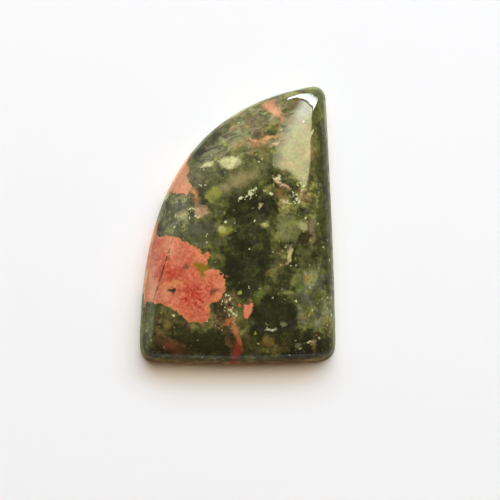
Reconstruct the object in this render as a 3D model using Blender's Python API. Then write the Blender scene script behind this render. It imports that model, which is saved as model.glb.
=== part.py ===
"""Unakite cabochon: one polished stone with a flat back, a leaning girdle wall and a domed crown.

Metres, +Z up. The origin is the middle of the flat back's bounding box. +Y runs along the
stone towards its pointed end, +X towards its straight side, and the dome faces +Z.
"""

import math

import bmesh
import bpy
import numpy as np
from mathutils import Vector, geometry

MM = 0.001

# Driving dimensions of the stone, whose height is those of its wall, its shoulder and its dome
WALL_HEIGHT = 2.0 * MM
WALL_LEAN = 0.38 * MM
SHOULDER_RISE = 0.45 * MM
SHOULDER_WIDTH = 1.5 * MM
DOME_RISE = 1.25 * MM
BACK_BEVEL_IN = 0.20 * MM
BACK_BEVEL_UP = 0.22 * MM

# Each side of the outline is one Bezier: start knot, two handles, end knot, pieces
CURVED_SIDE = ((5.55, 10.48), (-3.94, 8.77), (-7.30, 1.68), (-7.33, -9.10), 34)
LEFT_CORNER = ((-7.33, -9.10), (-7.33, -9.80), (-6.90, -10.25), (-6.10, -10.33), 7)
SHORT_SIDE = ((-6.10, -10.33), (-2.20, -10.55), (2.20, -10.55), (6.00, -10.27), 14)
RIGHT_CORNER = ((6.00, -10.27), (6.95, -10.15), (7.33, -9.70), (7.33, -8.85), 7)
STRAIGHT_SIDE = ((7.33, -8.85), (7.26, -2.85), (6.92, 3.75), (6.63, 9.55), 20)
TIP_CORNER = ((6.63, 9.55), (6.55, 10.15), (6.20, 10.55), (5.55, 10.48), 6)
OUTLINE = (CURVED_SIDE, LEFT_CORNER, SHORT_SIDE, RIGHT_CORNER, STRAIGHT_SIDE, TIP_CORNER)

# The crown's rings shrink towards this point, where it is highest
CROWN_CENTRE = Vector((0.4, -2.0, 0.0)) * MM
CROWN_STEPS = 13
SHOULDER_ROUNDNESS = 1.5

# The film that gives each point's distance from the edge is a series of this many powers
FILM_DEGREE = 20
FILM_SCALE = 10.0 * MM
EDGE_FADE = 10

STONE_GREEN = (0.055, 0.065, 0.028, 1.0)
POLISH_ROUGHNESS = 0.12


def clear_scene():
    for obj in list(bpy.data.objects):
        bpy.data.objects.remove(obj)


def girdle_outline():
    """The widest outline, anticlockwise from above."""
    points = []
    for start, first, second, end, pieces in OUTLINE:
        corners = [Vector((x, y, 0.0)) * MM for x, y in (start, first, second, end)]
        points += geometry.interpolate_bezier(*corners, pieces + 1)[:-1]
    return points


def inset(outline, distance):
    """The outline moved inwards by the same distance all the way round."""
    moved = []
    for i, point in enumerate(outline):
        along = outline[(i + 1) % len(outline)] - outline[i - 1]
        inwards = Vector((-along.y, along.x, 0.0)).normalized()
        moved.append(point + inwards * distance)
    return moved


def at_height(outline, height):
    return [Vector((point.x, point.y, height)) for point in outline]


class Film:
    """A film stretched over an edge and blown up a little.

    Its height and its slope together tell how far a point is from the edge. That distance has
    no creases where the nearest side changes, so the crown turns softly into the corners.
    """

    def __init__(self, edge):
        places = self.places(edge)
        powers = places[:, None] ** np.arange(FILM_DEGREE + 1)
        terms = np.hstack([powers.real, -powers.imag[:, 1:]])
        fit = np.linalg.lstsq(terms, np.abs(places) ** 2, rcond=None)[0]
        level, turned = fit[: FILM_DEGREE + 1], fit[FILM_DEGREE + 1 :]
        self.series = np.polynomial.Polynomial(level + 1j * np.insert(turned, 0, 0.0))

    def places(self, points):
        arms = [(point - CROWN_CENTRE) / FILM_SCALE for point in points]
        return np.array([complex(arm.x, arm.y) for arm in arms])

    def distance(self, points):
        """Distance of each point from the edge."""
        places = self.places(points)
        height = np.maximum(self.series(places).real - np.abs(places) ** 2, 0.0)
        slope = np.abs(self.series.deriv()(places) - 2.0 * places.conj())
        return FILM_SCALE * (np.sqrt(slope**2 + 8.0 * height) - slope) / 4.0


def crown_rise(from_edge, from_edge_to_top):
    """Height over the wall: a low dome all the way across, and a round shoulder at its edge."""
    dome = 1.0 - (1.0 - from_edge / from_edge_to_top) ** 2
    shoulder = 1.0 - np.maximum(1.0 - from_edge / SHOULDER_WIDTH, 0.0) ** SHOULDER_ROUNDNESS
    return DOME_RISE * dome + SHOULDER_RISE * shoulder


def crown_ring(film, wall_top, share):
    """The wall's top edge shrunk to this share of its size, with each point up on the crown."""
    ring = [CROWN_CENTRE.lerp(point, share) for point in wall_top]
    from_edge = film.distance(ring) - film.distance(wall_top) * share**EDGE_FADE
    heights = WALL_HEIGHT + crown_rise(from_edge, film.distance([CROWN_CENTRE]))
    return [Vector((point.x, point.y, height)) for point, height in zip(ring, heights)]


def stone_rings():
    """The stone's rings from the flat back up: bevel, girdle, wall top, and those of the crown."""
    girdle = girdle_outline()
    wall_top = inset(girdle, WALL_LEAN)
    film = Film(wall_top)
    turns = [math.radians(90.0) * step / CROWN_STEPS for step in range(1, CROWN_STEPS)]
    return [
        at_height(inset(girdle, BACK_BEVEL_IN), 0.0),
        at_height(girdle, BACK_BEVEL_UP),
        at_height(wall_top, WALL_HEIGHT),
        *[crown_ring(film, wall_top, math.cos(turn)) for turn in turns],
    ]


def loft(rings, summit):
    """Extrude the first ring's face through all the others, and close it with one point on top."""
    mesh = bmesh.new()
    back = [mesh.verts.new(point) for point in rings[0]]
    top = mesh.faces.new(back)
    for ring in rings[1:]:
        top = bmesh.ops.extrude_discrete_faces(mesh, faces=[top])["faces"][0]
        for corner, place in zip(top.verts, ring):
            corner.co = place
    bmesh.ops.poke(mesh, faces=[top])["verts"][0].co = summit
    mesh.faces.new(reversed(back))
    return mesh


def stone_material():
    material = bpy.data.materials.new("polished_unakite")
    material.use_nodes = True
    shader = material.node_tree.nodes["Principled BSDF"]
    shader.inputs["Base Color"].default_value = STONE_GREEN
    shader.inputs["Roughness"].default_value = POLISH_ROUGHNESS
    shader.inputs["Metallic"].default_value = 0.0
    return material


def make_cabochon(collection):
    height = WALL_HEIGHT + SHOULDER_RISE + DOME_RISE
    mesh = loft(stone_rings(), CROWN_CENTRE + Vector((0.0, 0.0, height)))
    data = bpy.data.meshes.new("cabochon")
    mesh.to_mesh(data)
    mesh.free()
    data.shade_smooth()
    data.set_sharp_from_angle(angle=math.radians(35.0))
    data.materials.append(stone_material())
    stone = bpy.data.objects.new("cabochon", data)
    collection.objects.link(stone)


def main():
    clear_scene()
    collection = bpy.data.collections.new("unakite_cabochon")
    bpy.context.scene.collection.children.link(collection)
    make_cabochon(collection)


main()
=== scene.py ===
# %% [markdown]
# # A unakite cabochon, polished and lying on white paper
#
# Unakite is a granite whose feldspar is salmon pink and whose dark minerals have turned into
# green epidote. A cabochon is such a stone cut with a flat back and a smooth domed front. This
# script gives the packed solid its looks: a finely sampled skin, one procedural rock that runs
# all through it, a polish that mirrors the room, and a soft window light from beyond its tip.

import math

import bmesh
import bpy
import numpy as np
from mathutils import Matrix, Vector, geometry


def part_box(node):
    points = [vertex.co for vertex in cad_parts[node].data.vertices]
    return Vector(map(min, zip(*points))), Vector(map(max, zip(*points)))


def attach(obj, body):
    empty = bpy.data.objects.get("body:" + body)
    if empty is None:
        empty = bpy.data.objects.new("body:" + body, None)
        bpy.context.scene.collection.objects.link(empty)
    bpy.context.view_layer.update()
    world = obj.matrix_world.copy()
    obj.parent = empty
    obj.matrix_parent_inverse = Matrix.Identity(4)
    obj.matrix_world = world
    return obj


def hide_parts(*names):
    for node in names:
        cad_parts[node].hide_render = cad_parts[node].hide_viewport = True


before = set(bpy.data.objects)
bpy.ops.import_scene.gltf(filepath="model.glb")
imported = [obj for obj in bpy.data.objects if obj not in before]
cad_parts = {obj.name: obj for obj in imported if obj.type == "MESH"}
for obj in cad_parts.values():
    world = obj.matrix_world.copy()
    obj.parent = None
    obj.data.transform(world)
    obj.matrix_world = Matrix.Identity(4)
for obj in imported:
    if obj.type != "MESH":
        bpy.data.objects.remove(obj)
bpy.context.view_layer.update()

MM = 0.001
STONE_LOW, STONE_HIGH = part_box("cabochon")
STONE_SIZE = STONE_HIGH - STONE_LOW
print("stone", [round(side / MM, 2) for side in STONE_SIZE], "mm")

# %% [markdown]
# ## The outline
#
# A free-form cabochon is sawn along a drawn line and ground to it by hand. The line could be
# traced with many points, but a few points with handles keep every side smooth. So it is six
# Bezier sides: a long curved side, a short side, a straight side and three rounded corners. A
# mirror-bright stone shows every flat facet, so each side gets five times the pieces that the
# plain solid has.

# %% Draw the outline
CURVED_SIDE = ((5.55, 10.48), (-3.94, 8.77), (-7.30, 1.68), (-7.33, -9.10), 34)
LEFT_CORNER = ((-7.33, -9.10), (-7.33, -9.80), (-6.90, -10.25), (-6.10, -10.33), 7)
SHORT_SIDE = ((-6.10, -10.33), (-2.20, -10.55), (2.20, -10.55), (6.00, -10.27), 14)
RIGHT_CORNER = ((6.00, -10.27), (6.95, -10.15), (7.33, -9.70), (7.33, -8.85), 7)
STRAIGHT_SIDE = ((7.33, -8.85), (7.26, -2.85), (6.92, 3.75), (6.63, 9.55), 20)
TIP_CORNER = ((6.63, 9.55), (6.55, 10.15), (6.20, 10.55), (5.55, 10.48), 6)
OUTLINE = (CURVED_SIDE, LEFT_CORNER, SHORT_SIDE, RIGHT_CORNER, STRAIGHT_SIDE, TIP_CORNER)
FINER = 5


def girdle_outline():
    """The widest outline, anticlockwise from above."""
    points = []
    for start, first, second, end, pieces in OUTLINE:
        corners = [Vector((x, y, 0.0)) * MM for x, y in (start, first, second, end)]
        points += geometry.interpolate_bezier(*corners, pieces * FINER + 1)[:-1]
    return points


def inset(outline, distance):
    """The outline moved inwards by the same distance all the way round."""
    moved = []
    for i, point in enumerate(outline):
        along = outline[(i + 1) % len(outline)] - outline[i - 1]
        inwards = Vector((-along.y, along.x, 0.0)).normalized()
        moved.append(point + inwards * distance)
    return moved


girdle = girdle_outline()
print("outline of", len(girdle), "points")

# %% [markdown]
# ## The edge that the crown starts from
#
# The wall leans in a little, so that a setting can grip the stone, and the crown starts at its
# top. That edge could simply be the outline made smaller. At the tip, though, the wheel took
# more away, as the crescent in the polish shows: the shoulder ends in a round nose, and the
# wall's top dips outside it. So there the edge is drawn in to a circle.

# %% Round the nose
WALL_LEAN = 0.38 * MM
NOSE_CENTRE = Vector((4.6, 8.3, 0.0)) * MM
NOSE_RADIUS = 1.6 * MM

# The nose is round between these two directions, in degrees anticlockwise from +X
NOSE_TURNS = (0.0, 103.0)


def past_nose(point):
    """How far a point lies outside the round nose inside the tip."""
    arm = point - NOSE_CENTRE
    first, last = NOSE_TURNS
    ahead = first <= math.degrees(math.atan2(arm.y, arm.x)) <= last
    return max(arm.length - NOSE_RADIUS, 0.0) if ahead else 0.0


def round_nose(edge):
    """The edge with its tip drawn in to the nose."""
    return [point - (point - NOSE_CENTRE).normalized() * past_nose(point) for point in edge]


wall_top = inset(girdle, WALL_LEAN)
crown_edge = round_nose(wall_top)
print("tip drawn in by", round(max(past_nose(point) for point in wall_top) / MM, 2), "mm")

# %% [markdown]
# ## The distance from the edge
#
# The crown's height follows one number: how far a point is from the edge. A plain distance has
# creases where the nearest side changes, and polish would show them as lines. A soap film over
# the edge, blown up a little, has none, and its height and slope together give almost the same
# distance. The film is a series of powers that is fitted to the edge.

# %% Stretch a film over the edge
CROWN_CENTRE = Vector((0.4, -2.0, 0.0)) * MM
FILM_DEGREE = 20
FILM_SCALE = 10.0 * MM


class Film:
    """A film stretched over an edge and blown up a little, as a series of powers."""

    def __init__(self, edge):
        places = self.places(edge)
        powers = places[:, None] ** np.arange(FILM_DEGREE + 1)
        terms = np.hstack([powers.real, -powers.imag[:, 1:]])
        fit = np.linalg.lstsq(terms, np.abs(places) ** 2, rcond=None)[0]
        level, turned = fit[: FILM_DEGREE + 1], fit[FILM_DEGREE + 1 :]
        self.series = np.polynomial.Polynomial(level + 1j * np.insert(turned, 0, 0.0))

    def places(self, points):
        arms = [(point - CROWN_CENTRE) / FILM_SCALE for point in points]
        return np.array([complex(arm.x, arm.y) for arm in arms])

    def distance(self, points):
        """Distance of each point from the edge, negative outside it."""
        places = self.places(points)
        height = self.series(places).real - np.abs(places) ** 2
        slope = np.abs(self.series.deriv()(places) - 2.0 * places.conj())
        return FILM_SCALE * (np.sqrt(np.maximum(slope**2 + 8.0 * height, 0.0)) - slope) / 4.0


film = Film(crown_edge)
print("distance from the edge to the top", film.distance([CROWN_CENTRE])[0] / MM, "mm")

# %% [markdown]
# ## The crown
#
# The front is ground by rocking the stone on a wheel, which leaves a steep shoulder all round
# and a low dome over the middle. It could be sculpted, but then its reflections could hardly be
# steered. Two short sums of the distance from the edge give the dome and the shoulder, so that
# the window is mirrored where the real stone mirrors it, and the crown turns softly into every
# corner.

# %% Raise the crown
WALL_HEIGHT = 2.0 * MM
SHOULDER_RISE = 0.45 * MM
SHOULDER_WIDTH = 1.5 * MM
SHOULDER_ROUNDNESS = 1.5
DOME_RISE = 1.25 * MM

# The higher it is, the sooner the film's misfit at the edge fades out towards the middle
EDGE_FADE = 10


def crown_rise(from_edge, from_edge_to_top):
    """Height over the wall: a low dome all the way across, and a round shoulder at its edge."""
    dome = 1.0 - (1.0 - from_edge / from_edge_to_top) ** 2
    shoulder = 1.0 - np.maximum(1.0 - from_edge / SHOULDER_WIDTH, 0.0) ** SHOULDER_ROUNDNESS
    return DOME_RISE * dome + SHOULDER_RISE * shoulder


def crown_ring(film, wall_top, share):
    """The wall's top edge shrunk to this share of its size, with each point up on the crown."""
    ring = [CROWN_CENTRE.lerp(point, share) for point in wall_top]
    misfit = film.distance(wall_top) + np.array([past_nose(point) for point in wall_top])
    from_edge = film.distance(ring) - misfit * share**EDGE_FADE
    heights = WALL_HEIGHT + crown_rise(from_edge, film.distance([CROWN_CENTRE]))
    return [Vector((point.x, point.y, height)) for point, height in zip(ring, heights)]


arris = crown_ring(film, wall_top, 1.0)
wall_heights = [round(point.z / MM, 2) for point in arris]
print("wall from", min(wall_heights), "to", max(wall_heights), "mm high")

# %% [markdown]
# ## Rings from the back to the top
#
# Seen close, no edge of a polished stone is sharp: the wheel's soft pad rolls over the arris
# between wall and crown, and over the small bevel that keeps the back from chipping. A bevel
# modifier could round them, but rings that are laid one by one stay even all the way round. Each
# edge becomes a short run of rings along a parabola between its two neighbours.

# %% Stack the rings
BACK_BEVEL_IN = 0.20 * MM
BACK_BEVEL_UP = 0.22 * MM
BEVEL_START = 0.75
EDGE_STEPS = 5
WALL_STEPS = 8
CROWN_STEPS = 84

# The wall stays straight between these shares of its height, and the crown's own rings start
# at this share of its size, inside the rounded arris
WALL_SHARES = (0.03, 0.84)
CROWN_START = 0.975


def at_height(outline, height):
    return [Vector((point.x, point.y, height)) for point in outline]


def rounded(before, corner, after):
    """Rings that turn from one ring to another along a parabola under the corner ring."""
    rings = []
    for step in range(EDGE_STEPS + 1):
        t = step / EDGE_STEPS
        triples = zip(before, corner, after)
        rings.append([a.lerp(b, t).lerp(b.lerp(c, t), t) for a, b, c in triples])
    return rings


def between(low, high, share):
    """The ring at this share of the way from one ring to another."""
    return [start.lerp(end, share) for start, end in zip(low, high)]


turns = [math.radians(90.0) * step / CROWN_STEPS for step in range(CROWN_STEPS)]
shares = [math.cos(turn) for turn in turns if math.cos(turn) < CROWN_START]
bevel = at_height(inset(girdle, BACK_BEVEL_IN), 0.0)
foot = at_height(girdle, BACK_BEVEL_UP)
walls = [between(foot, arris, share) for share in np.linspace(*WALL_SHARES, WALL_STEPS)]
rings = [bevel, *rounded(between(bevel, foot, BEVEL_START), foot, walls[0]), *walls[1:-1]]
rings += rounded(walls[-1], arris, crown_ring(film, wall_top, shares[0]))
rings += [crown_ring(film, wall_top, share) for share in shares[1:]]
summit = CROWN_CENTRE + Vector((0.0, 0.0, STONE_HIGH.z))
print(len(rings), "rings")

# %% [markdown]
# ## The skin
#
# The rings become one closed mesh: quads between neighbouring rings, a fan to the summit and a
# flat back. Subdividing the plain solid would be less work, but would pull its edges in and keep
# its facets in the reflections. This skin takes its place on screen and is the same stone, only
# more finely sampled, so that the mirror of the window in it is smooth.

# %% Make the skin


def skin_mesh(name, rings, summit):
    """A closed mesh through the rings, with one point on top and a flat back."""
    mesh = bmesh.new()
    rows = [[mesh.verts.new(point) for point in ring] for ring in rings]
    top = mesh.verts.new(summit)
    count = len(rows[0])
    for low, high in zip(rows, rows[1:]):
        for i in range(count):
            j = (i + 1) % count
            mesh.faces.new((low[i], low[j], high[j], high[i]))
    for i in range(count):
        mesh.faces.new((rows[-1][i], rows[-1][(i + 1) % count], top))
    back = mesh.faces.new(reversed(rows[0]))
    for face in mesh.faces:
        face.smooth = face is not back
    data = bpy.data.meshes.new(name)
    mesh.to_mesh(data)
    mesh.free()
    return data


stone = bpy.data.objects.new("polished_cabochon", skin_mesh("polished_cabochon", rings, summit))
bpy.context.scene.collection.objects.link(stone)
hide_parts("cabochon")
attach(stone, "root")
print("skin of", len(stone.data.polygons), "faces")

# %% [markdown]
# ## Writing shader maths as sums
#
# The rock is a long chain of shader nodes. They could be added and linked one by one, but then
# nobody could read what they work out. One small class wraps a socket, so that masks and
# colours are added and multiplied as in ordinary maths, and one method adds any other node.

# %% Wrap a socket


class Wire:
    """One output socket of a shader, with the maths that can be done on it."""

    def __init__(self, socket):
        self.socket = socket

    def add(self, kind, settings, inputs, output=0):
        """A new node of the same shader: its settings, then its inputs, and one of its outputs."""
        tree = self.socket.id_data
        node = tree.nodes.new(kind)
        for name, value in settings.items():
            setattr(node, name, value)
        for name, value in inputs.items():
            if isinstance(value, Wire):
                tree.links.new(value.socket, node.inputs[name])
            else:
                node.inputs[name].default_value = value
        return Wire(node.outputs[output])

    def sum(self, operation, first, second):
        """Maths between two values; vectors and colours go through vector maths."""
        wires = [value for value in (first, second) if isinstance(value, Wire)]
        if any(wire.socket.type in ("VECTOR", "RGBA") for wire in wires):
            sides = [self.spread(value) for value in (first, second)]
            return self.add("ShaderNodeVectorMath", {"operation": operation}, dict(enumerate(sides)))
        sides = {0: first, 1: second}
        return self.add("ShaderNodeMath", {"operation": operation}, sides)

    def spread(self, value):
        """A number as three equal numbers, for vector maths."""
        return (value, value, value) if isinstance(value, (int, float)) else value

    def __add__(self, other):
        return self.sum("ADD", self, other)

    def __radd__(self, other):
        return self.sum("ADD", other, self)

    def __sub__(self, other):
        return self.sum("SUBTRACT", self, other)

    def __rsub__(self, other):
        return self.sum("SUBTRACT", other, self)

    def __mul__(self, other):
        return self.sum("MULTIPLY", self, other)

    def __rmul__(self, other):
        return self.sum("MULTIPLY", other, self)

    def __truediv__(self, other):
        return self.sum("DIVIDE", self, other)

    def maths(self, operation, second=0.0):
        """Any other operation on plain numbers."""
        return self.add("ShaderNodeMath", {"operation": operation}, {0: self, 1: second})

    def length(self):
        return self.add("ShaderNodeVectorMath", {"operation": "LENGTH"}, {0: self}, "Value")

    def turned(self, angle):
        """This place turned about Z, anticlockwise and in degrees."""
        c, s = math.cos(math.radians(angle)), math.sin(math.radians(angle))
        along = {"X": self.dot((c, -s, 0.0)), "Y": self.dot((s, c, 0.0))}
        return self.add("ShaderNodeCombineXYZ", {}, along)

    def dot(self, direction):
        """How far this place reaches in one direction."""
        inputs = {0: self, 1: direction}
        return self.add("ShaderNodeVectorMath", {"operation": "DOT_PRODUCT"}, inputs, "Value")

    def part(self, axis):
        """One of the three numbers of a vector or of a colour: X, Y or Z."""
        if self.socket.type == "RGBA":
            channel = {"X": "Red", "Y": "Green", "Z": "Blue"}[axis]
            return self.add("ShaderNodeSeparateColor", {}, {0: self}, channel)
        return self.add("ShaderNodeSeparateXYZ", {}, {0: self}, axis)

    def also(self, output):
        """Another output of the same node."""
        return Wire(self.socket.node.outputs[output])

    def smooth(self, low, high):
        """0 below the first value, 1 above the second, and a soft step in between."""
        settings = {"interpolation_type": "SMOOTHSTEP", "clamp": False}
        return self.add("ShaderNodeMapRange", settings, {0: self, 1: low, 2: high})

    def noise(self, scale, detail=2.0, roughness=0.5, warp=0.0, output="Fac"):
        """Cloudy noise at this place, with this many clouds to the mm, and wisps when warped."""
        inputs = {"Scale": scale, "Detail": detail, "Roughness": roughness, "Distortion": warp}
        return self.add("ShaderNodeTexNoise", {}, {"Vector": self, **inputs}, output)

    def cells(self, scale, output="Distance"):
        """Voronoi cells at this place, with this many to the mm."""
        return self.add("ShaderNodeTexVoronoi", {}, {0: self, "Scale": scale}, output)

    def blend(self, below, above):
        """The first colour where this mask is 0, and the second where it is 1."""
        return self.add("ShaderNodeMix", {"data_type": "RGBA"}, {0: self, 6: below, 7: above}, 2)


print("a wire has", sum(callable(value) for value in vars(Wire).values()), "methods")

# %% [markdown]
# ## Materials and colours
#
# A new material comes with nodes of its own, so each one here starts by clearing them. Colours
# are written as the 0 to 255 values that a screen shows, because those are easy to compare with
# a real stone, and are turned into the share of light that the stone sends back.

# %% Start and finish a material


def new_material(name):
    """A material without any nodes yet."""
    material = bpy.data.materials.new(name)
    material.use_nodes = True
    material.node_tree.nodes.clear()
    return material


def place_in(material):
    """A material's first wire: a point's place in the object, in metres."""
    return Wire(material.node_tree.nodes.new("ShaderNodeTexCoord").outputs["Object"])


def finish_material(shader, material):
    """Link a finished shader to the material's surface."""
    tree = material.node_tree
    tree.links.new(shader.socket, tree.nodes.new("ShaderNodeOutputMaterial").inputs["Surface"])
    print(material.name, "has", len(material.node_tree.nodes), "nodes")


def srgb(red, green, blue):
    """A colour from its 0 to 255 screen values, as the light it sends back."""
    channels = [value / 255.0 for value in (red, green, blue)]
    linear = [c / 12.92 if c <= 0.04045 else ((c + 0.055) / 1.055) ** 2.4 for c in channels]
    return (*linear, 1.0)


print("screen grey 128 sends back", round(srgb(128, 128, 128)[0], 3), "of the light")

# %% [markdown]
# ## Where a point of the rock is
#
# Rock isn't painted on: its minerals run through the stone. A flat picture could be wrapped
# round it, but would stretch on the wall, so all patterns are looked up by the point's place in
# mm inside the solid. The patches are laid out as seen from the front, and below the crown they
# wander off, so that the wall and the back show other cuts of them. Two more wanderings, a
# broad swirl and a fine one, fray the patches into crystals.

# %% Find the places
FLAT = (1.0, 1.0, 0.0)
UNDER_CROWN = (2.1, 0.0)

# Here and below, a noise's clouds to the mm, with its detail, roughness and warp where it has them
BACK_CLOUDS = 0.3
BACK_DRIFT = 7.0
SWIRL_CLOUDS = 1.1
SWIRL_FAR = 0.9
FRAY_CLOUDS = (4.5, 3.0, 0.6)
FRAY_FAR = 0.38

unakite = new_material("unakite")
stone.data.materials.append(unakite)
place = place_in(unakite) * (1.0 / MM)

under_crown = place.part("Z").smooth(*UNDER_CROWN)
drift = (place.noise(BACK_CLOUDS, output="Color") - 0.5) * BACK_DRIFT * under_crown
swirl = (place.noise(SWIRL_CLOUDS, output="Color") - 0.5) * SWIRL_FAR
fray = (place.noise(*FRAY_CLOUDS, output="Color") - 0.5) * FRAY_FAR
calm = (place + drift) * FLAT
at = (calm + swirl + fray) * FLAT
print("patches swirl by up to", SWIRL_FAR / 2.0, "mm and fray by up to", FRAY_FAR / 2.0, "mm")

# %% [markdown]
# ## Patches
#
# A mineral shows as a patch where the cut runs through it. A patch could be painted by hand,
# but then it would be a picture. Here it is a handful of ellipses run together, or for a big
# one a radius for each direction round its middle, as one would sketch it. Each gives how far
# inside it a point is, in mm, so its border can be as crisp or as misty as the mineral's is.

# %% Draw patches


def ellipse(where, centre, size, turn=0.0):
    """How far inside a turned ellipse a place is, in mm. The size is its two radii."""
    arm = where - (*centre, 0.0)
    if turn:
        arm = arm.turned(-turn)
    return (1.0 - (arm / (*size, 1.0)).length()) * min(size)


def together(where, ellipses):
    """How far inside the nearest of several ellipses a place is."""
    depth = ellipse(where, *ellipses[0])
    for shape in ellipses[1:]:
        depth = depth.maths("MAXIMUM", ellipse(where, *shape))
    return depth


def sketched(where, centre, radii):
    """How far inside a patch a place is, from its radii, anticlockwise from the one towards -X."""
    arm = where - (*centre, 0.0)
    turn = arm.part("Y").maths("ARCTAN2", arm.part("X")) / math.tau + 0.5
    longest = max(radii)
    share = where.add("ShaderNodeFloatCurve", {}, {"Value": turn})
    mapping = share.socket.node.mapping
    points = mapping.curves[0].points
    while len(points) < len(radii):
        points.new(0.5, 0.5)
    for i, radius in enumerate(radii):
        points[i].location = (i / (len(radii) - 1), radius / longest)
    mapping.update()
    return share * longest - arm.length()


# %% [markdown]
# ## The rock's moods
#
# The dark rock changes from place to place: almost black and calm in the middle, hazy olive
# near the tip, grey by the curved side, brown by the straight one. Each zone sets a mood of
# three values, kept together as one colour: how light the rock is, how strongly it is mottled,
# and whether it leans to grey, green or brown. A second colour holds how many pale glints,
# yellow bits and rusty bits there are. Each zone could have a material of its own, but this way
# it costs only two mixes, and zones flow into each other along ragged borders.

# %% Set the moods
OPEN_GROUND = ((0.42, 0.36, 0.54), (0.25, 0.20, 0.10))
ZONES = (
    # light, mottled, warm; glints, yellow bits, rusty bits; border in mm; ellipses
    ("top", (0.52, 0.34, 0.66), (0.15, 0.35, 0.20), 1.0, [((0.4, 7.2), (5.2, 2.6), 30.0)]),
    ("edge haze", (0.32, 0.26, 0.60), (0.20, 0.20, 0.10), 0.8, [((-2.6, 5.8), (1.6, 0.9), 48.0)]),
    ("grey", (0.50, 0.44, 0.38), (0.60, 0.20, 0.10), 0.6, [((-4.1, 0.6), (1.9, 1.7), 20.0)]),
    ("slate", (0.44, 0.20, 0.26), (0.20, 0.05, 0.00), 0.5, [((-2.4, -0.9), (1.2, 1.2), 0.0)]),
    ("lens", (0.42, 0.14, 0.46), (0.10, 0.05, 0.00), 0.4, [((-0.2, 2.9), (2.3, 0.9), 30.0)]),
    ("upper right", (0.60, 0.60, 0.54), (0.70, 0.50, 0.45), 0.7, [((4.3, 1.9), (2.2, 1.8), 0.0)]),
    ("right brown", (0.29, 0.36, 0.62), (0.25, 0.25, 0.20), 0.7, [((5.4, -2.2), (0.9, 2.0), 0.0)]),
    ("pale olive", (0.63, 0.16, 0.32), (0.15, 0.10, 0.00), 0.4, [((3.6, -0.5), (1.0, 1.2), 0.0)]),
    ("bits", (0.34, 0.46, 0.52), (0.25, 0.50, 0.15), 0.6, [((3.6, -3.6), (1.1, 1.8), 0.0)]),
    ("lower right", (0.57, 0.30, 0.34), (0.22, 0.30, 0.10), 0.8, [((5.6, -5.6), (1.7, 2.6), 0.0)]),
    (
        "night",
        (0.17, 0.36, 0.40),
        (0.15, 0.10, 0.00),
        0.6,
        [((0.5, -2.5), (1.8, 2.6), 0.0), ((0.8, 0.9), (1.9, 1.2), 0.0), ((0.6, -4.6), (1.3, 1.0), 0.0)],
    ),
    ("low dark", (0.09, 0.26, 0.42), (0.12, 0.15, 0.00), 0.6, [((2.5, -7.1), (1.7, 1.8), 0.0)]),
    ("brown", (0.48, 0.60, 0.90), (0.50, 0.25, 1.00), 0.5, [((-1.1, -6.8), (0.8, 1.9), 0.0)]),
    ("left moss", (0.38, 0.36, 0.60), (0.20, 0.35, 0.25), 0.5, [((-5.0, -7.2), (1.6, 0.9), 0.0)]),
    ("dusk", (0.18, 0.18, 0.64), (0.08, 0.05, 0.10), 0.6, [((-3.2, -9.0), (3.4, 0.9), 0.0)]),
    ("low right", (0.17, 0.40, 0.54), (0.35, 0.25, 0.10), 0.6, [((4.6, -9.1), (2.2, 1.0), 0.0)]),
    (
        "dark strip",
        (0.32, 0.18, 0.38),
        (0.03, 0.05, 0.00),
        0.4,
        [((6.4, 2.6), (0.5, 4.2), 0.0), ((6.6, -2.0), (0.35, 2.4), 0.0)],
    ),
    ("veil", (0.62, 0.14, 0.72), (0.10, 0.20, 0.00), 0.7, [((4.3, 5.8), (1.3, 2.6), 0.0)]),
    ("tip", (0.52, 0.20, 0.48), (0.10, 0.30, 0.00), 0.6, [((6.0, 9.3), (1.2, 1.7), 0.0)]),
)

CLOUDS = (1.15, 7.0, 0.68)
RAGGED = 2.2

ragged = (place.noise(*CLOUDS) - 0.5) * RAGGED
ground_mood, fleck_mood = ((*mood, 1.0) for mood in OPEN_GROUND)
for name, ground, flecks, border, ellipses in ZONES:
    inside = (together(at, ellipses) + ragged).smooth(-border / 2.0, border / 2.0)
    ground_mood = inside.blend(ground_mood, (*ground, 1.0))
    fleck_mood = inside.blend(fleck_mood, (*flecks, 1.0))
    print("zone:", name)

# %% [markdown]
# ## The dark rock
#
# Epidote grows in small interlocked grains. One noise with many octaves would look like smoke,
# so the mottling adds up clouds of several sizes and, at the finest, grains that each have one
# brightness. Lightness then picks a colour from one of three rows of stops, for grey quartz,
# green epidote and brown stained rock.

# %% Colour the dark rock
GREY_ROW = (
    (0.0, (30, 33, 26)),
    (0.3, (58, 58, 44)),
    (0.55, (94, 95, 72)),
    (0.8, (142, 142, 108)),
    (1.0, (198, 194, 156)),
)
GREEN_ROW = (
    (0.0, (30, 36, 17)),
    (0.25, (50, 55, 27)),
    (0.5, (88, 91, 45)),
    (0.75, (138, 137, 74)),
    (1.0, (186, 182, 112)),
)
BROWN_ROW = (
    (0.0, (32, 27, 17)),
    (0.25, (64, 52, 32)),
    (0.5, (104, 86, 54)),
    (0.75, (156, 130, 84)),
    (1.0, (216, 182, 134)),
)


def row_of(value, stops):
    """A colour from a row of stops, by a value from 0 to 1."""
    ramp = value.add("ShaderNodeValToRGB", {}, {0: value})
    elements = ramp.socket.node.color_ramp.elements
    while len(elements) < len(stops):
        elements.new(0.5)
    for element, (position, colour) in zip(elements, stops):
        element.position = position
        element.color = srgb(*colour)
    return ramp


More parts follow.
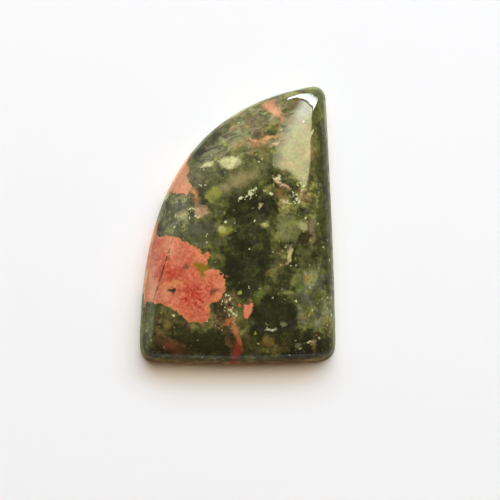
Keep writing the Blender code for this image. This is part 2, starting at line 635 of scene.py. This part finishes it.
GRAIN_CELLS = 6.0
CRYSTAL_CLOUDS = (1.4, 4.0, 0.5, 0.5)
CRYSTAL_EDGES = (0.40, 0.62)
DRIFT_CLOUDS = (0.6, 4.0, 0.55, 0.5)
FINE_CLOUDS = (3.6, 3.0, 0.65)
WARMTH_CLOUDS = (1.1, 4.0, 0.6, 0.8)
DRIFT_SHARE = 3.0
CRYSTAL_SHARE = 0.5
FINE_SHARE = 0.9
GRAIN_SHARE = 0.2
WARMTH_SPREAD = 1.7
GREY_TO_GREEN = (0.15, 0.45)
GREEN_TO_BROWN = (0.58, 0.85)

grain = (place + fray).cells(GRAIN_CELLS, output="Color").part("X")
crystals = (place + fray).noise(*CRYSTAL_CLOUDS).smooth(*CRYSTAL_EDGES)
drifts = (place + swirl).noise(*DRIFT_CLOUDS) - 0.5
fine = place.noise(*FINE_CLOUDS) - 0.5
mottle = (
    drifts * DRIFT_SHARE
    + (crystals - 0.5) * CRYSTAL_SHARE
    + fine * FINE_SHARE
    + (grain - 0.5) * GRAIN_SHARE
)
lightness = ground_mood.part("X") + mottle * ground_mood.part("Y")
warmth = ground_mood.part("Z") + (place.noise(*WARMTH_CLOUDS) - 0.5) * WARMTH_SPREAD
grey_or_green = warmth.smooth(*GREY_TO_GREEN)
rock = grey_or_green.blend(row_of(lightness, GREY_ROW), row_of(lightness, GREEN_ROW))
rock = warmth.smooth(*GREEN_TO_BROWN).blend(rock, row_of(lightness, BROWN_ROW))
print("dark rock from rows of", len(GREY_ROW), len(GREEN_ROW), "and", len(BROWN_ROW), "stops")

# %% [markdown]
# ## Pale wisps
#
# Near the tip, pale threads of quartz run through the rock, all the same way. They could be
# drawn one by one as thin curves. A noise is quicker: where it passes through its middle value
# there is a thin winding line, and squeezing it across one direction makes the lines run along.

# %% Draw the wisps
WISP_PALE = srgb(176, 174, 128)
WISP_PLACE = ((0.6, 6.8), (4.6, 2.4), 30.0)
WISP_BORDER = (-0.5, 1.0)
WISP_LINE = 25.0
WISP_STRETCH = (0.45, 1.5, 1.0)
WISP_CLOUDS = (0.8, 2.0, 0.5, 0.6)
WISP_WIDTH = 0.07
WISP_STRENGTH = 0.35

streaks = (place + swirl).turned(-WISP_LINE) * WISP_STRETCH
ridge = (streaks.noise(*WISP_CLOUDS) - 0.5).maths("ABSOLUTE")
wisps = ridge.smooth(WISP_WIDTH, 0.0) * ellipse(at, *WISP_PLACE).smooth(*WISP_BORDER)
rock = (wisps * WISP_STRENGTH).blend(rock, WISP_PALE)
print("wisps run at", WISP_LINE, "degrees")

# %% [markdown]
# ## Glints and bits
#
# Small grains of feldspar and fresh epidote lie all through the dark rock as cream glints,
# yellow-green bits and rusty bits. They could be placed as small ellipses, but there are
# hundreds. Each is a Voronoi cell's middle instead, shown only where the cell's own random
# number is below the zone's share, so they come in crowds and thin out. The thickest crowds
# are given one by one.

# %% Scatter the grains
CREAM = srgb(206, 204, 152)
YELLOW_GREEN = srgb(150, 152, 60)
RUST = srgb(176, 112, 66)
ON_CROWN = (1.5, 2.3)
WALL_SHARE = 0.3
SMALLEST = 0.6
CROWDS = [
    ((0.67, 2.0), (0.85, 0.38), 22.0),
    ((1.6, 1.2), (0.3, 0.25), 0.0),
    ((2.4, 1.9), (0.25, 0.5), 20.0),
    ((0.8, 0.0), (0.4, 0.18), 0.0),
    ((4.0, 1.7), (0.7, 0.5), 0.0),
    ((5.6, 0.7), (0.3, 0.7), -20.0),
    ((2.8, 3.2), (0.5, 0.4), -40.0),
    ((-2.5, 4.3), (0.5, 0.3), 20.0),
    ((-2.7, 2.9), (0.25, 0.35), 0.0),
    ((-3.4, 0.7), (0.8, 0.4), -30.0),
    ((1.0, -5.3), (0.4, 0.5), 0.0),
    ((-0.7, -6.2), (0.5, 1.4), 15.0),
    ((5.3, -9.0), (0.9, 0.35), 20.0),
]
CROWD_BORDER = (-0.1, 0.25)
CROWD_FRAY = 0.3
CROWD_SHARE = 0.9
GRAIN_SWIRL = 0.5
GRAIN_CRISPNESS = 6.0
LUCK_BORDER = 0.08

on_crown = place.part("Z").smooth(*ON_CROWN) * (1.0 - WALL_SHARE) + WALL_SHARE
crowd = (together(at, CROWDS) + ragged * CROWD_FRAY).smooth(*CROWD_BORDER)
GRAINS = (
    # how many to the mm, radius in cells, share that shows, colour
    (1.7, 0.20, fleck_mood.part("Y"), YELLOW_GREEN),
    (2.1, 0.22, fleck_mood.part("Z"), RUST),
    (2.9, 0.23, fleck_mood.part("X"), CREAM),
    (3.4, 0.44, crowd * CROWD_SHARE, CREAM),
)


def scattered(scale, radius, share, colour, below):
    """Grains of one kind over the colour below."""
    near = (place + swirl * GRAIN_SWIRL + fray).cells(scale)
    luck = near.also("Color").part("X")
    size = near.also("Color").part("Y") * radius + radius * SMALLEST
    shown = (share * on_crown - luck).smooth(0.0, LUCK_BORDER)
    disc = ((size - near) * GRAIN_CRISPNESS).smooth(0.0, 1.0)
    return disc.maths("MULTIPLY", shown).blend(below, colour)


for scale, radius, share, colour in GRAINS:
    rock = scattered(scale, radius, share, colour, rock)
print(len(GRAINS), "kinds of grains and", len(CROWDS), "crowds")

# %% [markdown]
# ## Pink feldspar
#
# The salmon patches are the feldspar that gives unakite its look. Their borders could come from
# a noise too, but these patches are what one knows the stone by, so they are sketched. The big
# one by the curved side is reddest in its middle and crossed by paler orange seams, where its
# crystals meet, and towards the edge it turns paler.

# %% Lay the pink patches
SALMON = srgb(200, 98, 70)
CORAL_RED = srgb(184, 60, 48)
PEACH = srgb(224, 146, 104)
PALE_PEACH = srgb(224, 182, 140)
ORANGE_RIM = srgb(206, 130, 78)

BIG_PINK_MIDDLE = (-4.0, -4.3)
BIG_PINK_RADII = (
    *(4.6, 4.6, 3.2, 2.6, 2.4, 2.4, 3.0, 3.4, 3.4, 2.7, 3.0, 3.0, 3.0),
    *(2.6, 1.6, 2.5, 2.3, 2.5, 2.8, 3.4, 3.9, 4.7, 5.2, 4.8, 4.6),
)
UPPER_PINK_MIDDLE = (-4.5, 3.2)
UPPER_PINK_RADII = (1.6, 1.8, 1.0, 1.0, 1.2, 1.1, 0.8, 0.9, 1.3, 1.5, 1.4, 1.4, 1.6)
REDDEST = [
    ((-3.5, -5.5), (1.3, 0.9), -40.0),
    ((-4.8, -3.9), (0.9, 0.6), -25.0),
    ((-2.4, -4.9), (0.5, 0.3), 0.0),
    ((-5.9, -2.9), (0.25, 1.2), 0.0),
]
PALE_PINKS = [
    ((-4.4, 2.9), (1.3, 1.5), 40.0),
    ((-6.7, -4.6), (0.8, 3.0), 0.0),
    ((-5.6, -5.6), (0.6, 0.4), 0.0),
]

FELDSPAR_CLOUDS = (0.9, 4.0, 0.6, 0.6)
FELDSPAR_EDGES = (0.42, 0.62)
PEACH_SHARE = 0.55
PALE_SHARE = 0.4
SEAM_CLOUDS = (1.1, 4.0, 0.6, 0.8)
SEAM_WIDTH = 0.045
SEAM_SHARE = 0.5
SPARKLE_EDGES = (0.4, 1.0)
SPARKLE_SHARE = 0.2
RIM_WIDTH = 0.4
RIM_SHARE = 0.6
RED_FRAY = 0.8
PINK_FRAY = 0.2
PINK_BORDER = (-0.05, 0.08)

big_pink = sketched(at, BIG_PINK_MIDDLE, BIG_PINK_RADII)
pink_depth = big_pink.maths("MAXIMUM", sketched(at, UPPER_PINK_MIDDLE, UPPER_PINK_RADII))
seam_ridge = ((place + swirl).noise(*SEAM_CLOUDS) - 0.5).maths("ABSOLUTE")
redness = (together(at, REDDEST) + ragged * RED_FRAY).smooth(-0.5, 0.5)
paleness = (together(at, PALE_PINKS) + ragged * RED_FRAY).smooth(-0.5, 0.6)
peachy = place.noise(*FELDSPAR_CLOUDS).smooth(*FELDSPAR_EDGES)
feldspar = (peachy * PEACH_SHARE).blend(SALMON, PEACH)
feldspar = (paleness * PALE_SHARE).blend(feldspar, PALE_PEACH)
feldspar = redness.blend(feldspar, CORAL_RED)
feldspar = (seam_ridge.smooth(SEAM_WIDTH, 0.0) * SEAM_SHARE).blend(feldspar, PEACH)
feldspar = (grain.smooth(*SPARKLE_EDGES) * SPARKLE_SHARE).blend(feldspar, PEACH)
feldspar = (pink_depth.smooth(RIM_WIDTH, 0.0) * RIM_SHARE).blend(feldspar, ORANGE_RIM)
rock = (pink_depth + ragged * PINK_FRAY).smooth(*PINK_BORDER).blend(rock, feldspar)
print("pink patches of", len(BIG_PINK_RADII), "and", len(UPPER_PINK_RADII), "radii")

# %% [markdown]
# ## Single marks
#
# The marks that make this stone itself and no other: the mustard spot and the dark dot in the
# pink, the cream islands above the dark middle, the pale spots at the straight side, a thin
# pink vein. Each could be a patch of its own in the shader, but one table of colours, borders
# and ellipses is easier to read and to move about.

# %% Place the marks
MARKS = (
    # colour, border in mm, how solid, ellipses
    ((142, 110, 36), 0.2, 1.0, [((-2.8, -3.4), (0.55, 0.45), 0.0), ((-2.7, -3.9), (0.22, 0.4), 0.0)]),
    ((116, 62, 42), 0.3, 0.8, [((-3.9, -3.4), (0.3, 0.15), 0.0), ((-1.9, -5.2), (0.3, 0.2), 30.0)]),
    ((60, 50, 34), 0.12, 1.0, [((-4.95, -5.2), (0.22, 0.17), 0.0), ((-1.3, -3.9), (0.1, 0.1), 0.0)]),
    ((206, 142, 80), 0.4, 0.6, [((-4.6, -4.6), (0.4, 0.2), 20.0), ((-3.3, 1.95), (0.25, 0.7), 30.0)]),
    ((144, 132, 88), 0.7, 1.0, [((0.05, 3.1), (1.7, 0.42), 30.0)]),
    ((212, 208, 148), 0.25, 0.75, [((-0.65, 4.4), (0.8, 0.42), 8.0), ((-2.45, 4.3), (0.4, 0.2), 20.0)]),
    ((150, 150, 62), 0.4, 0.7, [((-1.9, 2.0), (0.55, 0.5), 20.0), ((-1.0, -0.7), (0.4, 0.35), 0.0)]),
    ((186, 184, 112), 0.3, 0.7, [((1.9, -0.35), (0.25, 0.2), 0.0), ((-1.2, -0.5), (0.2, 0.2), 0.0)]),
    ((176, 170, 116), 0.4, 0.7, [((-4.1, 0.35), (0.32, 0.5), 0.0), ((4.8, -0.3), (0.3, 0.25), 0.0)]),
    ((184, 144, 106), 0.4, 0.6, [((-2.8, 0.75), (0.5, 0.4), 0.0), ((-3.9, 3.4), (0.2, 0.6), 0.0)]),
    ((216, 158, 108), 0.2, 0.9, [((1.2, 6.1), (0.7, 0.1), -15.0), ((2.2, 6.2), (0.5, 0.1), 12.0)]),
    ((176, 124, 84), 0.5, 0.7, [((1.1, 5.8), (0.5, 0.25), -15.0), ((2.4, 8.8), (0.7, 0.5), -50.0)]),
    ((212, 152, 114), 0.45, 0.8, [((2.8, 8.2), (0.65, 0.3), -50.0)]),
    ((214, 176, 134), 0.15, 0.9, [((3.2, 2.7), (0.5, 0.12), -35.0), ((2.7, 5.8), (0.3, 0.15), 40.0)]),
    ((118, 94, 50), 0.5, 0.5, [((3.0, 2.2), (0.4, 0.3), -30.0), ((1.5, 5.4), (0.5, 0.2), 0.0)]),
    ((150, 134, 98), 0.25, 0.6, [((5.5, -0.6), (0.12, 0.9), -6.0), ((5.5, -9.1), (0.1, 0.5), 0.0)]),
    ((222, 132, 96), 0.2, 1.0, [((0.6, -6.65), (0.42, 0.55), 0.0), ((0.85, -6.2), (0.15, 0.3), 0.0)]),
    ((196, 180, 122), 0.15, 0.9, [((3.72, -2.4), (0.17, 0.6), 0.0), ((1.45, 1.15), (0.2, 0.16), 0.0)]),
    ((96, 112, 48), 0.4, 0.6, [((1.45, -5.5), (0.35, 0.6), 0.0), ((4.4, -4.9), (0.25, 0.3), 0.0)]),
    ((188, 108, 60), 0.2, 0.8, [((4.85, -4.3), (0.1, 0.3), 0.0), ((-0.9, -7.4), (0.3, 0.15), 30.0)]),
    ((190, 120, 78), 0.3, 0.8, [((-0.2, -8.0), (0.2, 0.5), 10.0), ((0.1, -8.9), (0.15, 0.5), 0.0)]),
    ((150, 62, 50), 0.3, 0.85, [((-0.15, -9.5), (0.35, 0.7), 0.0)]),
    ((122, 68, 50), 0.5, 0.6, [((-5.0, -9.25), (0.9, 0.3), -25.0)]),
    ((136, 106, 66), 0.4, 0.5, [((-4.9, -8.75), (0.7, 0.1), -30.0), ((-0.7, -9.1), (0.12, 0.4), 20.0)]),
    ((126, 108, 56), 0.3, 0.8, [((2.25, -8.85), (0.35, 0.3), 0.0), ((-5.3, -7.6), (0.3, 0.2), 0.0)]),
    ((134, 142, 102), 0.2, 0.7, [((3.3, -7.6), (0.2, 0.15), 0.0), ((4.4, -9.2), (0.22, 0.18), 0.0)]),
    ((214, 210, 172), 0.12, 0.9, [((2.4, -8.0), (0.35, 0.1), 30.0), ((6.7, -2.7), (0.07, 0.07), 0.0)]),
)

MARK_FRAY = 0.8
GRAIN_CONTRAST = 0.2
FINE_CONTRAST = 0.6
DARKEST = 0.9

for colour, border, solid, ellipses in MARKS:
    depth = together(at, ellipses) + ragged * border * MARK_FRAY
    inside = depth.smooth(-border / 2.0, border / 2.0)
    rock = (inside * (crystals * (1.0 - solid) + solid)).blend(rock, srgb(*colour))
rock = rock * (grain * GRAIN_CONTRAST + fine * FINE_CONTRAST + DARKEST)
print(len(MARKS), "groups of marks")

# %% [markdown]
# ## A healed crack, and painted shade along the arris
#
# A hairline crack runs along the shoulder by the curved side. It is filled and polished over,
# so it can't be felt: a groove in the mesh would be wrong. Above it, a second dark line follows
# the arris just inside the outline: that one is painted shade, where the arris shows dark. The
# two are long thin ellipses, broken into dark dashes by a noise.

# %% Draw the crack and the painted shade on the arris
CRACK_AND_SHADE_DARK = srgb(62, 42, 32)
# The first ellipse is the healed crack; the second follows the arris and is painted shade
CRACK_AND_ARRIS_SHADE = [((-5.6, -3.5), (2.5, 0.06), 72.8), ((-5.55, 0.7), (1.1, 0.04), 70.7)]
CRACK_AND_SHADE_BORDER = 0.03
CRACK_AND_SHADE_WOBBLE = 0.3
CRACK_AND_SHADE_STRENGTH = 0.85
DASH_CLOUDS = (2.4, 2.0)
DASH_EDGES = (0.40, 0.50)

dashes = place.noise(*DASH_CLOUDS).smooth(*DASH_EDGES)
line = together((calm + fray * CRACK_AND_SHADE_WOBBLE) * FLAT, CRACK_AND_ARRIS_SHADE).smooth(-CRACK_AND_SHADE_BORDER, CRACK_AND_SHADE_BORDER)
rock = (line * dashes * CRACK_AND_SHADE_STRENGTH).blend(rock, CRACK_AND_SHADE_DARK)
print("crack", sum(2.0 * size[0] for middle, size, turn in CRACK_AND_ARRIS_SHADE), "mm long")

# %% [markdown]
# ## The polish
#
# Diamond paste brings the crown to a mirror, with faint waves that the pad leaves. The wall,
# which a setting hides, gets less of it, and fine scratches stay there. Towards the back the wall
# is paler: partly those scratches and partly painted light, which brightens and pales the rock
# there, and by the short side it is tinted pink, a painted reflection of the warm shadow on the
# paper. A rock as shiny as its polish would mirror in two layers at once, so the rock itself
# stays dull. The polish is a clear coat over it, full on the crown and weaker below, with the
# index of refraction of epidote, which bends light strongly.

# %% Polish the stone
ROCK_ROUGHNESS = 0.5
GLOSS = 0.035
EPIDOTE_INDEX = 1.74
WALL_POLISH = 0.2
POLISH_HEIGHTS = (1.9, 2.35)
WAVE_HEIGHT = 0.004
WAVE_CLOUDS = (0.55, 1.0)
# The wall's pale colour is partly scratches and partly painted light; its pink is painted reflection
PALE_SCRATCH_AND_LIGHT = srgb(226, 232, 158)
PAINTED_SHADOW_REFLECTION_PINK = srgb(232, 156, 140)
SCRATCH_AND_LIGHT_SHARE = 0.33
SCRATCH_AND_LIGHT_LEAST = 0.5
SCRATCH_AND_LIGHT_CRYSTALS = 0.6
PAINTED_LIGHT_GAIN = 1.2
SCRATCH_AND_LIGHT_HEIGHTS = (1.8, 0.2)
SHORT_SIDE_AT = (-9.6, -10.2)

height = place.part("Z")
polished = height.smooth(*POLISH_HEIGHTS) * (1.0 - WALL_POLISH) + WALL_POLISH
# Painted reflection: the pink by the short side stands in for the warm shadow on the paper that the
# wall mirrors
scratch_and_light_colour = place.part("Y").smooth(*SHORT_SIDE_AT).blend(PALE_SCRATCH_AND_LIGHT, PAINTED_SHADOW_REFLECTION_PINK)
uneven = (crystals * SCRATCH_AND_LIGHT_CRYSTALS + SCRATCH_AND_LIGHT_LEAST) * SCRATCH_AND_LIGHT_SHARE
# Painted light, partly: the wall's rock is brightened and mixed with pale, besides its fine scratches
scratched_and_lit = rock * PAINTED_LIGHT_GAIN + scratch_and_light_colour * uneven
rock = height.smooth(*SCRATCH_AND_LIGHT_HEIGHTS).blend(rock, scratched_and_lit)
waves = place.noise(*WAVE_CLOUDS) * WAVE_HEIGHT * MM
normal = place.add("ShaderNodeBump", {}, {"Strength": 1.0, "Distance": 1.0, "Height": waves})
finish = {
    "Base Color": rock,
    "Roughness": ROCK_ROUGHNESS,
    "Specular IOR Level": 0.0,
    "Coat Weight": polished,
    "Coat Roughness": GLOSS,
    "Coat IOR": EPIDOTE_INDEX,
    "Normal": normal,
}
finish_material(place.add("ShaderNodeBsdfPrincipled", {}, finish), unakite)

# %% [markdown]
# ## Paper
#
# The stone lies on a sheet of white paper, big enough to fill the picture and to throw light
# back up at the wall. A world colour alone would leave the stone without a shadow to stand in.

# %% Lay the paper
PAPER_SIZE = 3.0
PAPER_WHITE = 0.90
PAPER_ROUGHNESS = 0.9


def paper():
    """A big sheet of white paper under the stone."""
    half = PAPER_SIZE / 2.0
    corners = [(-half, -half, 0.0), (half, -half, 0.0), (half, half, 0.0), (-half, half, 0.0)]
    data = bpy.data.meshes.new("paper")
    data.from_pydata(corners, [], [(0, 1, 2, 3)])
    sheet = bpy.data.objects.new("paper", data)
    bpy.context.scene.collection.objects.link(sheet)
    white = new_material("paper")
    start = place_in(white)
    grey = (PAPER_WHITE, PAPER_WHITE, PAPER_WHITE, 1.0)
    inputs = {"Base Color": grey, "Roughness": PAPER_ROUGHNESS, "Specular IOR Level": 0.0}
    finish_material(start.add("ShaderNodeBsdfPrincipled", {}, inputs), white)
    data.materials.append(white)


paper()

# %% [markdown]
# ## Panes of light
#
# Polish shows what shape a light has, so the lights need shapes. An area light is a plain
# rectangle or disc, and a picture of a room would be one more file. So each light is a glowing
# pane on a sphere round the stone, given by directions and by heights above the paper. Each
# either shows in the polish or lights the paper and the rock, so that both can be set on their
# own, and none throws a shadow on what another one lights.

# %% Make a pane of light
PANE_DISTANCE = 0.6
PANE_STEPS = 48


def towards(azimuth, elevation):
    """The point of the sky in this direction: degrees from +Y towards +X, and above the paper."""
    a, e = math.radians(azimuth), math.radians(elevation)
    return Vector((math.sin(a) * math.cos(e), math.cos(a) * math.cos(e), math.sin(e))) * PANE_DISTANCE


def pane(name, columns, glow, colour, mirrored=True):
    """A pane of light that fills part of the sky, given as columns: azimuth, low and high end.

    It either shows in the polish or lights the paper and the stone, and the camera sees neither.
    The colour is the same all over, or a function of the direction.
    """
    azimuths, lows, highs = zip(*columns)
    steps = np.linspace(azimuths[0], azimuths[-1], PANE_STEPS + 1)
    ends = zip(steps, np.interp(steps, azimuths, lows), np.interp(steps, azimuths, highs))
    points = [towards(step, end) for step, low, high in ends for end in (low, high)]
    faces = [(2 * i, 2 * i + 2, 2 * i + 3, 2 * i + 1) for i in range(PANE_STEPS)]
    data = bpy.data.meshes.new(name)
    data.from_pydata(points, [], faces)
    sheet = bpy.data.objects.new(name, data)
    bpy.context.scene.collection.objects.link(sheet)
    light = new_material(name)
    start = place_in(light)
    inputs = {
        "Base Color": (0.0, 0.0, 0.0, 1.0),
        "Emission Color": colour(start / start.length()) if callable(colour) else (*colour, 1.0),
        "Emission Strength": glow,
    }
    finish_material(start.add("ShaderNodeBsdfPrincipled", {}, inputs), light)
    data.materials.append(light)
    sheet.visible_camera = False
    sheet.visible_shadow = False
    sheet.visible_glossy = mirrored
    sheet.visible_diffuse = not mirrored


def band(azimuths, heights):
    """The columns of a pane between two directions and two heights."""
    return [(azimuth, *heights) for azimuth in azimuths]


print("panes hang", PANE_DISTANCE, "m from the stone")

# %% [markdown]
# ## The light on paper and rock
#
# A big window beyond the tip gives soft shadows that fall towards the short side. The light of
# the sky comes in low and cool, and what the ceiling sends back is warm. One white pane would
# do for the brightness, but a cool low one and a warm high one also tint the shadow, as in a
# real room. A dim warm world stands for all that the walls send back.

# %% Light the paper
SOFT_AZIMUTHS = (-35, 60)
SOFT_GLOW = 5.15
COOL = (0.75, 0.97, 1.235)
WARM = (1.20, 1.0, 0.76)
ROOM_COLOUR = (1.0, 0.66, 0.36, 1.0)
ROOM_GLOW = 0.15

pane("low_light", band(SOFT_AZIMUTHS, (28, 52)), SOFT_GLOW, COOL, mirrored=False)
pane("high_light", band(SOFT_AZIMUTHS, (54, 78)), SOFT_GLOW, WARM, mirrored=False)

world = bpy.data.worlds.new("room")
bpy.context.scene.world = world
world.use_nodes = True
room = world.node_tree.nodes["Background"]
room.inputs["Color"].default_value = ROOM_COLOUR
room.inputs["Strength"].default_value = ROOM_GLOW
bpy.context.scene.view_settings.view_transform = "Standard"

# %% [markdown]
# ## The mirrored window and room
#
# The window shows twice in the polish: its bright lower part as the crescent on the nose, and
# its curtained upper part as the veil below it. Their borders are what the crown's shape makes
# of the window's borders, so a plain rectangle doesn't do, and each pane has a row of columns.
# Thin strips that fade out are the haze beside the veil, and three dim low panes are walls. All
# the rest stays dark, which keeps the dark rock dark.

# %% Hang what the polish mirrors
WHITE = (1.0, 1.0, 1.0)
SKY_BLUE = (0.86, 0.93, 1.0)
WARM_WALL = (1.0, 0.95, 0.80)
BLACK = (0.0, 0.0, 0.0, 1.0)
CURTAIN_WHITE = (1.10, 1.12, 1.01, 1.0)
CURTAIN_TAN = (0.73, 0.69, 0.39, 1.0)
CURTAIN_CHANGE = (0.10, 0.60)
CURTAIN_FADE = (-0.05, 0.38)

# Columns of a pane: azimuth, low end and high end in degrees
CRESCENT = (
    *((-11, 5, 9.5), (-8, 0.5, 12), (-5, 0.5, 15), (0, 0.5, 18.5), (6, 0.5, 21.5), (13, 0.5, 24)),
    *((20, 0.5, 26), (27, 0.5, 27), (39, 0.5, 28), (47, 3, 28), (54, 9, 27.5), (60, 17, 27)),
    *((64, 22, 26), (67, 25, 25.5)),
)
VEIL = (
    *((-12, 18, 60), (-6, 19, 61), (0, 22, 63.5), (7, 25.5, 67), (13, 28, 70), (20, 30, 72.5)),
    *((27, 31, 74), (42, 31.5, 74), (52, 31, 72), (60, 30, 70), (67, 28, 66), (70, 26.5, 64)),
    *((75, 25, 59), (78, 24.5, 54), (79, 25, 48), (79.8, 29, 40)),
)
HAZE_AZIMUTHS = (-75, -10.5)
HAZE = (
    # low end, high end, glow
    (14, 44, 0.85),
    (44, 50, 0.7),
    (50, 55, 0.55),
    (55, 60, 0.4),
    (60, 65, 0.25),
    (65, 70, 0.12),
)
WALLS = (
    # name, azimuths, top in degrees, glow, colour
    ("north_wall", (-60, -13), 14, 0.5, WARM_WALL),
    ("west_wall", (-120, -60), 20, 0.8, WARM_WALL),
    ("south_wall", (-240, -121), 9, 0.4, WHITE),
)
FLOOR_LINE = 0.5
CRESCENT_GLOW = 14.0
VEIL_GLOW = 6.6


def curtained(direction):
    """The window behind its curtain: whiter to the north, and fading out to the west."""
    cloth = direction.part("Y").smooth(*CURTAIN_CHANGE).blend(CURTAIN_TAN, CURTAIN_WHITE)
    return direction.part("X").smooth(*CURTAIN_FADE).blend(BLACK, cloth)


pane("crescent", CRESCENT, CRESCENT_GLOW, SKY_BLUE)
pane("veil", VEIL, VEIL_GLOW, curtained)
for low, high, glow in HAZE:
    pane("haze", band(HAZE_AZIMUTHS, (low, high)), glow, WARM_WALL)
for name, azimuths, top, glow, colour in WALLS:
    pane(name, band(azimuths, (FLOOR_LINE, top)), glow, colour)

# %% [markdown]
# ## The camera
#
# The stone is seen from almost straight above, from a hand's length away, leaning a little
# towards its short side and its curved side. A constraint could point the camera at the stone,
# but might roll it. Here it is turned by three directions: the way back from the stone, the
# picture's right, which stays level, and the picture's up.

# %% Place the camera
AIM = Vector((0.92, -1.88, 0.0)) * MM
CAMERA_DISTANCE = 200.0 * MM
LEAN_SOUTH = math.radians(4.0)
LEAN_WEST = math.radians(2.0)
LENS = 191.5
NEAREST = 10.0 * MM

away = Vector((-math.tan(LEAN_WEST), -math.tan(LEAN_SOUTH), 1.0)).normalized()
camera_data = bpy.data.cameras.new("camera")
camera_data.lens = LENS
camera_data.clip_start = NEAREST
camera = bpy.data.objects.new("camera", camera_data)
right = Vector((0.0, 1.0, 0.0)).cross(away).normalized()
camera.location = AIM + away * CAMERA_DISTANCE
camera.rotation_euler = Matrix((right, away.cross(right), away)).transposed().to_euler()
bpy.context.scene.collection.objects.link(camera)
bpy.context.scene.camera = camera
print("camera at", [round(value / MM, 1) for value in camera.location], "mm")

# %% [markdown]
# ## The size
#
# The looks may change what the stone looks like, but not how big it is.
